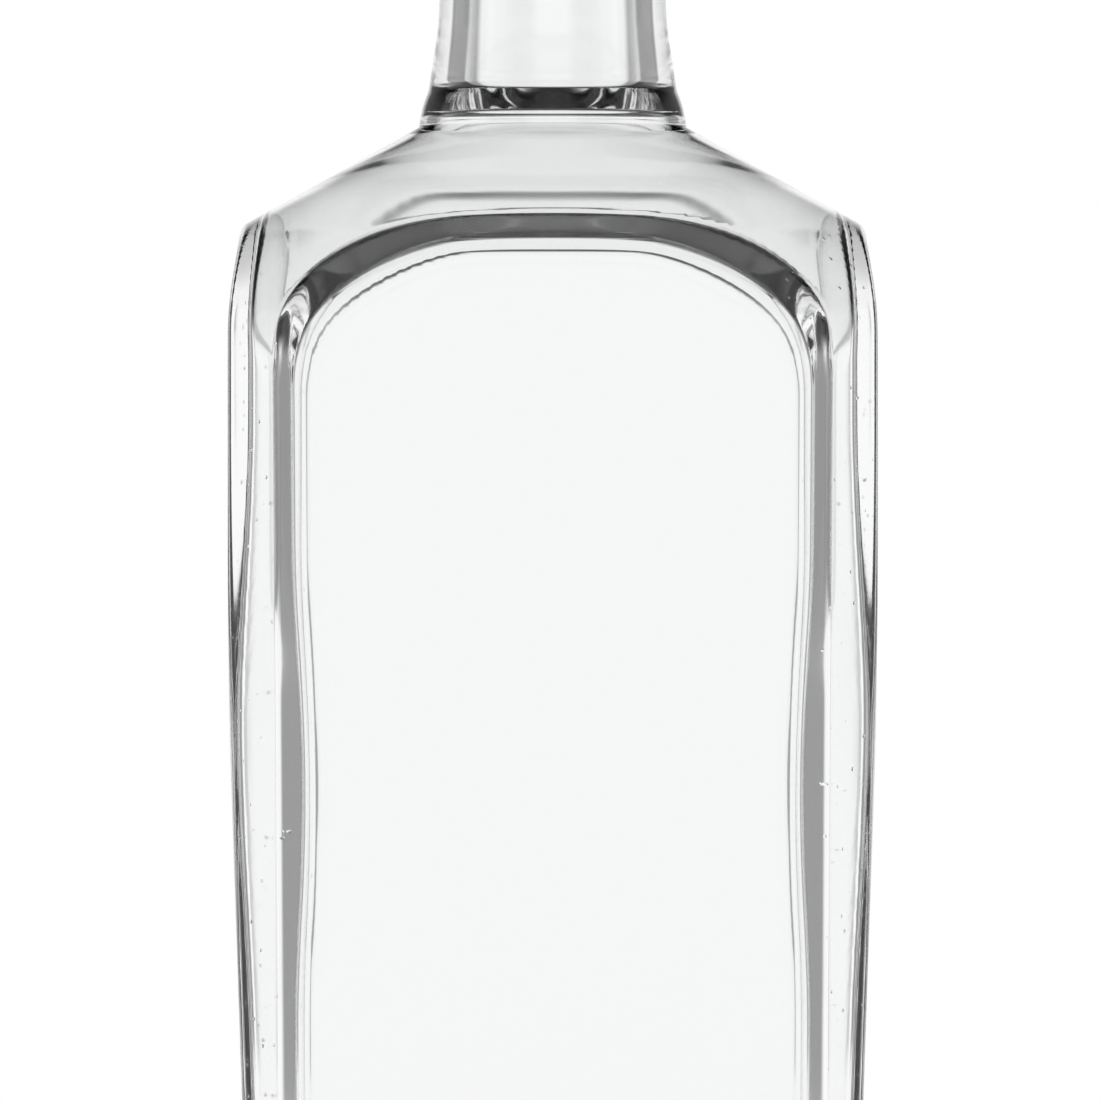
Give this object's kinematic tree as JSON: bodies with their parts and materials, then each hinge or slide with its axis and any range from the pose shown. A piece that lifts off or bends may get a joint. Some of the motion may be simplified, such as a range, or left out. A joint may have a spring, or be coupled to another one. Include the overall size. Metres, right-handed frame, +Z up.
{
  "type": "gin bottle",
  "caption": "Empty clear glass spirit bottle: tapered block body with flat arched panels, bevelled edges, sloping shoulders, collared conical neck and plain lip.",
  "frame": {"origin": "middle of the base, on the surface that the bottle stands on", "axes": "+Z up through the neck to the mouth; the broad panels face -Y and +Y; +X towards a narrow side"},
  "size_m": [0.09, 0.065, 0.245],
  "materials": {
    "clear_glass": "fire-polished, colourless"
  },
  "bodies": {
    "root": {"glass_bottle": "clear_glass"}
  },
  "joints": []
}
